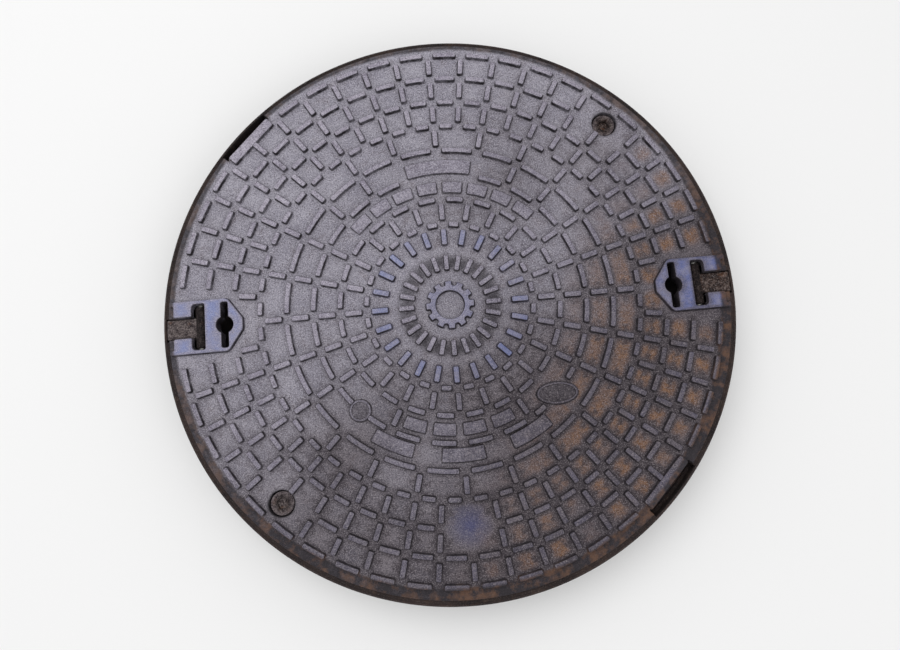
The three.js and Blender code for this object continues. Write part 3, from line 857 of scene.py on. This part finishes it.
def deck(shell):
    """The flat of the cover with its pockets, recesses and rim notches cut out."""
    gaps = []
    for side in SIDES:
        pocket, corners = t_pocket(math.sqrt(R_DECK ** 2 - STEM_HALF ** 2))
        gaps.append((side, math.degrees(math.asin(STEM_HALF / R_DECK)),
                     spin(rounded(pocket, corners, 3), side)))
    for a in NOTCH_ANGLES:
        reach = math.sqrt(R_DECK ** 2 - NOTCH_HALF ** 2)
        pts = rounded([(reach, -NOTCH_HALF), (NOTCH_X - 1.5, -NOTCH_HALF),
                       (NOTCH_X - 1.5, NOTCH_HALF), (reach, NOTCH_HALF)], [0, 2, 2, 0], 3)
        gaps.append((a, math.degrees(math.asin(NOTCH_HALF / R_DECK)), spin(pts, a)))
    outline = [(mid, pts) for mid, _, pts in gaps]
    for i in range(240):
        a = i * 1.5
        if not any(near(a, mid, half + 0.4) for mid, half, _ in gaps):
            outline.append((a, [polar(R_DECK, a)]))
    outline.sort(key=lambda item: item[0])
    points = [p for _, item in outline for p in item]
    locks = [circle(*polar(LOCK_R, a), 14.3, 40) for a in LOCK_ANGLES]
    keys = []
    for side in SIDES:
        keys.append(spin(rounded([(242, -14), (249.6, -26.5), (263.5, -26.5), (263.5, 26.5),
                                  (249.6, 26.5), (242, 14)], 3, 3), side))

    def swell(px, py):
        big = noise.noise(Vector((px / 38, py / 38, 1.0)))
        small = noise.noise(Vector((px / 7, py / 7, 5.0)))
        return -0.1 + 0.22 * big + 0.12 * small

    side_profile = [(-0.6, Z_UNDER, 0, 0.5), (0, Z_UNDER + 0.8, 0, 0.7), (0, Z_DECK - 1.4, 0, 0.8),
                    (-0.4, Z_DECK - 0.45, 0.1, 0.7), (-1.4, Z_DECK, 0.1, 0.5)]
    wall = [(0.4, Z_UNDER, 0, 0.7), (0, Z_UNDER + 0.8, 0, 0.9), (0, Z_DECK - 1.4, 0, 0.9),
            (0.4, Z_DECK - 0.45, 0, 0.8), (1.4, Z_DECK, 0, 0.35)]
    start = len(shell.verts)
    shell.solid(points, side_profile, locks + keys, wall, spacing=4.2, height=swell)
    deck_masks(shell, start)
    # the floor of each lock recess, with the hole its shaft goes down
    for a in LOCK_ANGLES:
        x, y = polar(LOCK_R, a)
        shell.solid(circle(x, y, 20, 40), straight(Z_SKIRT, 56.0, 0.6, 0, 0.8),
                    [circle(x, y, 6.3, 32)], bore(Z_SKIRT, 56.0, 0.3, 0, 0.9))


def deck_masks(shell, start):
    """Marks the cells and their middles, the dirt and painted shade round the hub's bars, and the
    painted bluish sky reflection on the bare place.
    """
    feet, hearts = nearest(FEET), nearest(HEARTS)
    for i in range(start, len(shell.verts)):
        x, y, z = shell.verts[i]
        if z > Z_DECK - 0.5 and math.hypot(x, y) < R_DECK - 2.0:
            _, k, far = feet.find((x, y, 0))
            shell.cell[i] = eased((far - FEET[k][2] - 2.0) / 6.5)
            shell.heart[i] = eased(1.3 - hearts.find((x, y, 0))[2] / 11.5)
            # dirt and painted shade between the hub's bars
            far = abs(math.hypot(x, y) - HUB_BARS - 1) / 10
            if far < 1:
                shell.grime[i] = 0.7 * (1 - far * far)
            # painted bluish sky reflection on the bare place
            spot = math.dist((x, y), polar(PATCH_R, PATCH)) / 27
            if spot < 1:
                shell.cool[i] = 1 - spot


def ring_between(shell, r0, r1, z0, z1, n):
    """A whole ring with upright sides."""
    shell.solid(circle(0, 0, r1, n), straight(z0, z1, 0.8, 0, 0.35),
                [circle(0, 0, r0, n)], bore(z0, z1, 0.8, 0, 0.35))


def arc_band(shell, r0, r1, a0, a1, z0, z1):
    """Part of a ring, from one angle to another."""
    n = max(3, round((a1 - a0) / 2))
    shell.solid(sector(r0, r1, a0, a1, n), straight(z0, z1, 0.5, 0, 0.5))


def underside(shell):
    """Foot ring and core, seat and skirt, notch floors, pocket boxes and radial webs."""
    ring_between(shell, FOOT_IN, FOOT_OUT, 0.0, Z_UNDER + 0.5, 144)
    shell.solid(circle(0, 0, CORE_R, 72), straight(0.0, Z_UNDER + 0.5, 1.0, 0, 0.35))
    ring_between(shell, R_SKIRT_IN, R_DECK - 0.05, Z_SEAT, Z_SILL, 240)
    gate = math.degrees(math.asin(BOX_HALF / R_SKIRT))
    for side in SIDES:
        arc_band(shell, R_SKIRT_IN, R_SKIRT, side + gate, side + 180 - gate, Z_SKIRT, Z_SEAT + 1)
    # the band between seat and deck stops at the two stems and the two notches
    stops = sorted([(a, math.degrees(math.asin(STEM_HALF / R_DECK))) for a in SIDES]
                   + [(a, math.degrees(math.asin(NOTCH_HALF / R_DECK))) for a in NOTCH_ANGLES])
    for i, (mid, half) in enumerate(stops):
        nxt, nxt_half = stops[(i + 1) % len(stops)]
        nxt += 360 if i == len(stops) - 1 else 0
        arc_band(shell, R_SKIRT_IN + 0.05, R_DECK - 0.1, mid + half, nxt - nxt_half,
                 Z_SILL - 0.5, Z_UNDER + 0.5)
    for a in NOTCH_ANGLES:
        pts = [polar(R_SKIRT_IN + 0.05, 7.1 - 1.42 * i) for i in range(11)]
        pts = anticlockwise(pts + [(NOTCH_X - 1.4, -36), (NOTCH_X - 1.4, 36)])
        shell.solid(spin(pts, a), straight(Z_SILL - 0.5, Z_UNDER + 0.6, 0.3, 0, 0.9))
    for side in SIDES:
        pocket_box(shell, side)
    radial_webs(shell)


def pocket_box(shell, side):
    """The box under a pocket: four walls, corners for the bolts and the webs that carry the pin."""
    def wall(points):
        shell.solid(spin(points, side), straight(Z_PAD, Z_UNDER + 0.6, 0.5, 0, 0.5))

    h = BOX_HALF
    wall([(BOX_X0, -h), (225, -h), (225, h), (BOX_X0, h)])
    wall([(BOX_X0, -h), (291.5, -h), (294.0, -40), (BOX_X0, -40)])
    wall([(BOX_X0, 40), (294.0, 40), (291.5, h), (BOX_X0, h)])
    out = [polar(R_SKIRT - 0.1, -9.2 + i * 2.3) for i in range(9)]
    wall(out + [(286, 47.5), (286, -47.5)])
    for x, y in TRAY_BOLTS:
        cx, cy = (225, 241) if x < 250 else (286, 270), (40 if y > 0 else -40)
        wall(anticlockwise([(cx[0], cy), (cx[1], cy), (cx[0], cy * 0.6)]))
    for s in (1, -1):
        for x0, x1 in ((269, PIN_X - 4.3), (PIN_X + 4.3, 291)):
            wall(anticlockwise([(x0, s * 26.4), (x1, s * 26.4), (x1, s * 34.5), (x0, s * 34.5)]))
        wall(anticlockwise([(269, s * 31), (291, s * 31), (291, s * 34.5), (269, s * 34.5)]))


def radial_webs(shell):
    """Eight webs, deep in the middle and shallow where they meet the skirt."""
    side_view = [(36, Z_UNDER + 0.6), (36, 0.6), (196, 0.6), (262, Z_SKIRT + 1),
                 (R_SKIRT_IN + 2, Z_SKIRT + 1), (R_SKIRT_IN + 2, Z_UNDER + 0.6)]
    outline = rounded(side_view, [0, 0, 30, 14, 0, 0], 6)
    for i in range(8):
        start = len(shell.verts)
        shell.solid(outline, straight(-3.5, 3.5, 0.9, 0, 0.35))
        turn = Matrix.Rotation(rad(22.5 + 45 * i), 3, "Z") @ Matrix.Rotation(rad(90), 3, "X")
        shell.moved(start, turn)


def casting():
    shell = Shell("casting")
    tread(shell)
    deck(shell)
    pocket_plates(shell)
    hub_ring(shell)
    tiles(shell)
    bosses(shell)
    underside(shell)
    return stand_for(shell.build(MATERIALS["tread_iron"]), "cover_casting", "cover")


# ------------------------ the seal
def rim_seal():
    """Rubber ring with an outer lip that runs all round; inside the lip its upstand drops at the
    two stems and the two rim notches."""
    inner = R_DECK + 0.35
    low = Z_SILL - 0.4
    drops = [(a, STEM_HALF + 0.8) for a in SIDES]
    drops += [(a, NOTCH_HALF + 0.4) for a in NOTCH_ANGLES]
    drops = [(mid, math.degrees(math.asin(half / R_SEAL))) for mid, half in drops]
    angles = {i * 0.5 for i in range(720)}
    for mid, edge in drops:
        for side in (-1, 1):
            for step in (-0.06, 0.06):
                angles.add((mid + side * (edge + step)) % 360)
    rows = []
    for a in sorted(angles):
        wave = 0.2 * noise.noise(Vector((*polar(5, a), 2.0)))
        lip = LIP_Z + wave
        top = low if any(near(a, mid, edge) for mid, edge in drops) else lip - 0.55
        section = [(303.5, 44.3), (304.0, 44.0), (R_SEAL - 1.5, 44.0), (R_SEAL - 0.4, 44.6),
                   (R_SEAL, 46.0), (R_SEAL, lip - 1.4), (R_SEAL - 0.4, lip - 0.5),
                   (R_SEAL - 1.2, lip), (R_LIP + 0.4, lip), (R_LIP, lip - 0.3), (R_LIP, top),
                   (inner + 0.9, top), (inner, top - 0.8), (inner, 47.0),
                   (inner - 0.4, Z_SEAT - 0.35), (303.9, Z_SEAT - 0.35), (303.5, Z_SEAT - 0.7)]
        rows.append([(*polar(r, a), z) for r, z in section])
    shell = Shell("rim_seal_moulded")
    ids = [[shell.point(*p) for p in row] for row in rows]
    n = len(ids[0])
    for i, row in enumerate(ids):
        nxt = ids[(i + 1) % len(ids)]
        for j in range(n):
            k = (j + 1) % n
            shell.faces.append((row[j], nxt[j], nxt[k], row[k])[::-1])
    return stand_for(shell.build(MATERIALS["seal_rubber"]), "rim_seal", "cover")


# ------------------------ turned and pressed pieces
def piece(name, material, node, body, make, x=0.0, y=0.0, z=0.0, turn=0.0):
    """One piece, made about its own origin, moved to its place and turned about the cover's."""
    shell = Shell(name)
    make(shell)
    shell.moved(0, Matrix.Rotation(rad(turn), 4, "Z") @ Matrix.Translation((x, y, z)))
    return stand_for(shell.build(MATERIALS[material]), node, body)


def crusted(shell, start, amount, size):
    """Roughens what was added since start with lumps of dirt of about the given size."""
    for i in range(start, len(shell.verts)):
        v = Vector(shell.verts[i])
        shell.verts[i] = tuple(v + amount * noise.noise_vector(v / size))


def divided(points, step):
    """The outline with extra points, so that none of its sides is longer than step."""
    out = []
    for i, b in enumerate(points):
        a = points[i - 1]
        n = max(1, math.ceil(math.dist(a, b) / step))
        out += [(a[0] + (b[0] - a[0]) * k / n, a[1] + (b[1] - a[1]) * k / n)
                for k in range(1, n + 1)]
    return out


def lug(shell):
    """T-headed lug about its own pin axis: barrel along Y, stem along +X with a hooked tip."""
    stem = rounded([(-1, -4.5), (28.5, -4.5), (30, -9.7), (36.5, -9.7), (38, -6.5), (38, 2.5),
                    (35.5, 4.5), (-1, 4.5)], [0, 1.5, 0.5, 0.8, 0.8, 1, 1, 0], 4)
    start = len(shell.verts)
    steps = [-11.0, -10.6] + [-10 + i for i in range(21)] + [10.6, 11.0]
    side = [(-0.6 if abs(z) > 10.8 else -0.2 if abs(z) > 10.3 else 0.0, z, 0.0, 0.25) for z in steps]
    shell.solid(divided(stem, 1.0), side, spacing=1.2)
    crusted(shell, start, 0.35, 3.0)
    shell.moved(start, Matrix.Rotation(rad(90), 3, "X"))
    start = len(shell.verts)
    steps = [-23.4, -22.6] + [-22 + i for i in range(45)] + [22.6, 23.4]
    side = [(-0.8 if abs(z) > 23 else -0.2 if abs(z) > 22.3 else 0.0, z, 0.0, 1.0) for z in steps]
    shell.solid(circle(0, 0, 6.4, 48), side, [circle(0, 0, 4.4, 32)], bore(-23.4, 23.4, 0.4, 0, 0.9))
    for i in range(start, len(shell.verts)):
        v = Vector(shell.verts[i])
        if math.hypot(v.x, v.y) > 5:
            shell.verts[i] = tuple(v + 0.3 * noise.noise_vector(v / 3.0))
    shell.moved(start, Matrix.Rotation(rad(90), 3, "X"))


def tray(shell):
    """Flange, turning well and the two horns that hold the hinge pin up."""
    h = BOX_HALF - 1
    end = [polar(R_SKIRT - 3.2, a) for a in (8.6, 4.3, 0, -4.3, -8.6)]
    flange = anticlockwise([(BOX_X0, -h), (BOX_X0, h)] + end)
    marks = [5 if p[0] < 230 else 0 for p in flange]
    holes = [circle(SLOT_X, 0, WELL_R, 56)] + [circle(x, y, 4.6, 24) for x, y in TRAY_BOLTS]
    shell.solid(rounded(flange, marks, 4), straight(TRAY_Z0, TRAY_Z1, 0.8), holes,
                bore(TRAY_Z0, TRAY_Z1, 0.3))
    shell.solid(circle(SLOT_X, 0, WELL_R + 3, 72), [(-3, 14, 0, 0), (-0.9, 14.8, 0, 0),
                (0, 17, 0, 0), (0, 36.5, 0, 0), (1.4, 38, 0, 0)], [circle(SLOT_X, 0, WELL_R, 56)],
                [(-4, 17.2, 0, 0), (-1, 17.6, 0, 0), (0, 19, 0, 0), (0, 38, 0, 0)])
    shell.solid(circle(SLOT_X, 0, WELL_R - 2, 56), straight(15.0, 17.2, 0.2), top_masks=(1.0, 0.0))
    for s in (1, -1):
        y0, y1 = sorted((s * 27, s * 30.4))
        shell.solid(rounded([(PIN_X - 3.6, y0), (PIN_X + 3.6, y0), (PIN_X + 3.6, y1),
                             (PIN_X - 3.6, y1)], 0.8, 2), straight(41, 58.6, 0.6))


def hexagon(flats):
    return [polar(flats / math.sqrt(3), 60 * i) for i in range(6)]


def screw(shell, r, z0, z1):
    """A threaded shank: rings that swell and shrink once a pitch."""
    pitch = 1.25
    profile = [(-0.8, z0, 0, 0)]
    steps = int((z1 - z0 - 1) / pitch * 2)
    for i in range(steps + 1):
        profile.append((-0.35 if i % 2 else 0.0, z0 + 0.6 + i * pitch / 2, 0, 0))
    shell.solid(circle(0, 0, r, 32), profile)


def tray_bolt(shell):
    shell.solid(rounded(hexagon(13), 0.5, 2), [(-1.0, 29.8, 0, 0), (-0.1, 30.5, 0, 0),
                (0, 30.7, 0, 0), (0, 35.0, 0, 0), (-0.3, 35.3, 0, 0)])
    screw(shell, 4.0, 35.0, 56.0)


def washer(shell, r0, r1, z0, z1):
    shell.solid(circle(0, 0, r1, 40), straight(z0, z1, 0.25), [circle(0, 0, r0, 32)],
                bore(z0, z1, 0.2))


def lock_bolt(shell):
    """Head with its five-sided socket, round shaft, square for the cam, and thread."""
    key = circle(0, 0, 6.6, 5)
    shell.solid(circle(0, 0, 13, 56), straight(61.4, 66, 0.9, 0.8), [rounded(key, 0.8, 3)],
                bore(61.4, 66, 0.5, 0, 0.8), top_masks=(1.0, 0.0))
    shell.solid(circle(0, 0, 13, 56), straight(58.6, 61.6, 0.4))
    shell.solid(circle(0, 0, 6, 40), straight(30.2, 60, 0.3))
    shell.solid(rounded([(-4.2, -4.2), (4.2, -4.2), (4.2, 4.2), (-4.2, 4.2)], 0.7, 2),
                straight(19.9, 31, 0.2))
    screw(shell, 4.2, 5, 20.2)


def lock_cam(shell):
    """Flat arm with a round end, and a square hole that fits the lock bolt."""
    outline = [polar(11.5, 90 + 12 * i) for i in range(16)]
    outline += [(22, -9.5), (29, -6.5), (31, -2), (31, 2), (29, 6.5), (22, 9.5)]
    marks = [0] * 16 + [4, 3, 3, 3, 3, 4]
    hole = [(-4.5, -4.5), (4.5, -4.5), (4.5, 4.5), (-4.5, 4.5)]
    shell.solid(rounded(outline, marks, 3), straight(20, 29.8, 1.0), [hole], bore(20, 29.8, 0.3))


def lock_nut(shell):
    shell.solid(rounded(hexagon(17), 0.6, 2),
                [(-1.2, 9.3, 0, 0), (0, 10.4, 0, 0), (0, 16.3, 0, 0), (-1.2, 17.4, 0, 0)],
                [circle(0, 0, 4.5, 32)], bore(9.3, 17.4, 0.4))


casting()
rim_seal()
for label, side in zip(("right", "left"), SIDES):
    piece("lug_cast_" + label, "lug_iron", "hinge_lug_" + label, "lug_" + label, lug,
          PIN_X, 0, PIN_Z, side)
    piece("tray_formed_" + label, "tray_coat", "key_tray_" + label, "cover", tray, turn=side)
    for i, (x, y) in enumerate(TRAY_BOLTS):
        tag = label + "_" + str(i + 1)
        piece("hex_bolt_" + tag, "plated_steel", "tray_bolt_" + tag, "cover", tray_bolt,
              x, y, 0, side)
        piece("ring_washer_" + tag, "plated_steel", "tray_washer_" + tag, "cover",
              lambda s: washer(s, 4.4, 8, 35.6, 37.2), x, y, 0, side)
for label, deg in zip(("back", "front"), LOCK_ANGLES):
    body = "lock_" + label
    for name, kind, material, owner, make in (
            ("key_bolt_", "bolt", "lug_iron", body, lock_bolt),
            ("swing_cam_", "cam", "lug_iron", body, lock_cam),
            ("cam_nut_", "nut", "plated_steel", body, lock_nut),
            ("cam_washer_", "washer", "plated_steel", body,
             lambda s: washer(s, 4.6, 10, 17.7, 19.6)),
            ("head_seal_", "seal", "seal_rubber", "cover",
             lambda s: washer(s, 6.3, 13.4, 56.3, 58.3))):
        # turned a quarter from its radius, so that its cam lies along the rim
        piece(name + label, material, "lock_" + kind + "_" + label, owner, make,
              0, -LOCK_R, 0, deg + 90)

for name, obj in nodes.items():
    material = MATERIALS[SLOT_OF[name]]
    obj.data.materials.clear()
    obj.data.materials.append(material)

# ------------------------ floor, light, camera
floor_mesh = bpy.data.meshes.new("floor")
floor_mesh.from_pydata([(-6, -6, 0), (6, -6, 0), (6, 6, 0), (-6, 6, 0)], [], [(0, 1, 2, 3)])
floor = bpy.data.objects.new("floor", floor_mesh)
floor.location.z = -0.0006  # just under the foot ring
scene.collection.objects.link(floor)
paper = Graph("pale_floor")
floor_mesh.materials.append(paper.finish(rgb(239, 239, 239), 0.9))

world = bpy.data.worlds.new("studio")
scene.world = world
world.use_nodes = True
world.node_tree.nodes["Background"].inputs["Color"].default_value = (1.0, 1.0, 1.0, 1.0)
world.node_tree.nodes["Background"].inputs["Strength"].default_value = 0.75


def soft_light(name, where, aim, size, power):
    data = bpy.data.lights.new(name, "AREA")
    data.shape = "DISK"
    data.size = size
    data.energy = power
    lamp = bpy.data.objects.new(name, data)
    lamp.location = where
    lamp.rotation_euler = (Vector(aim) - Vector(where)).to_track_quat("-Z", "Y").to_euler()
    scene.collection.objects.link(lamp)


soft_light("key", (-0.9, 0.9, 2.6), (0.0, 0.0, 0.0), 2.2, 26)
soft_light("fill", (1.2, -1.4, 2.4), (0, 0, 0), 2.0, 10)

LEAN = 9.0  # degrees from straight above
TURN = -5.16  # degrees about the upright
DISTANCE = 0.7444
turned = Matrix.Rotation(rad(TURN), 3, "Z")
target = turned @ Vector((-0.0002, -0.0225, 0.069))
back = turned @ Vector((0, -math.sin(rad(LEAN)), math.cos(rad(LEAN))))
camera = bpy.data.objects.new("camera", bpy.data.cameras.new("camera"))
camera.data.sensor_width = 36
camera.data.lens = 26.46
camera.data.clip_start = 0.01
camera.location = target + back * DISTANCE
camera.rotation_euler = (turned @ Matrix.Rotation(rad(LEAN), 3, "X")).to_euler()
scene.collection.objects.link(camera)
scene.camera = camera
scene.view_settings.view_transform = "Standard"
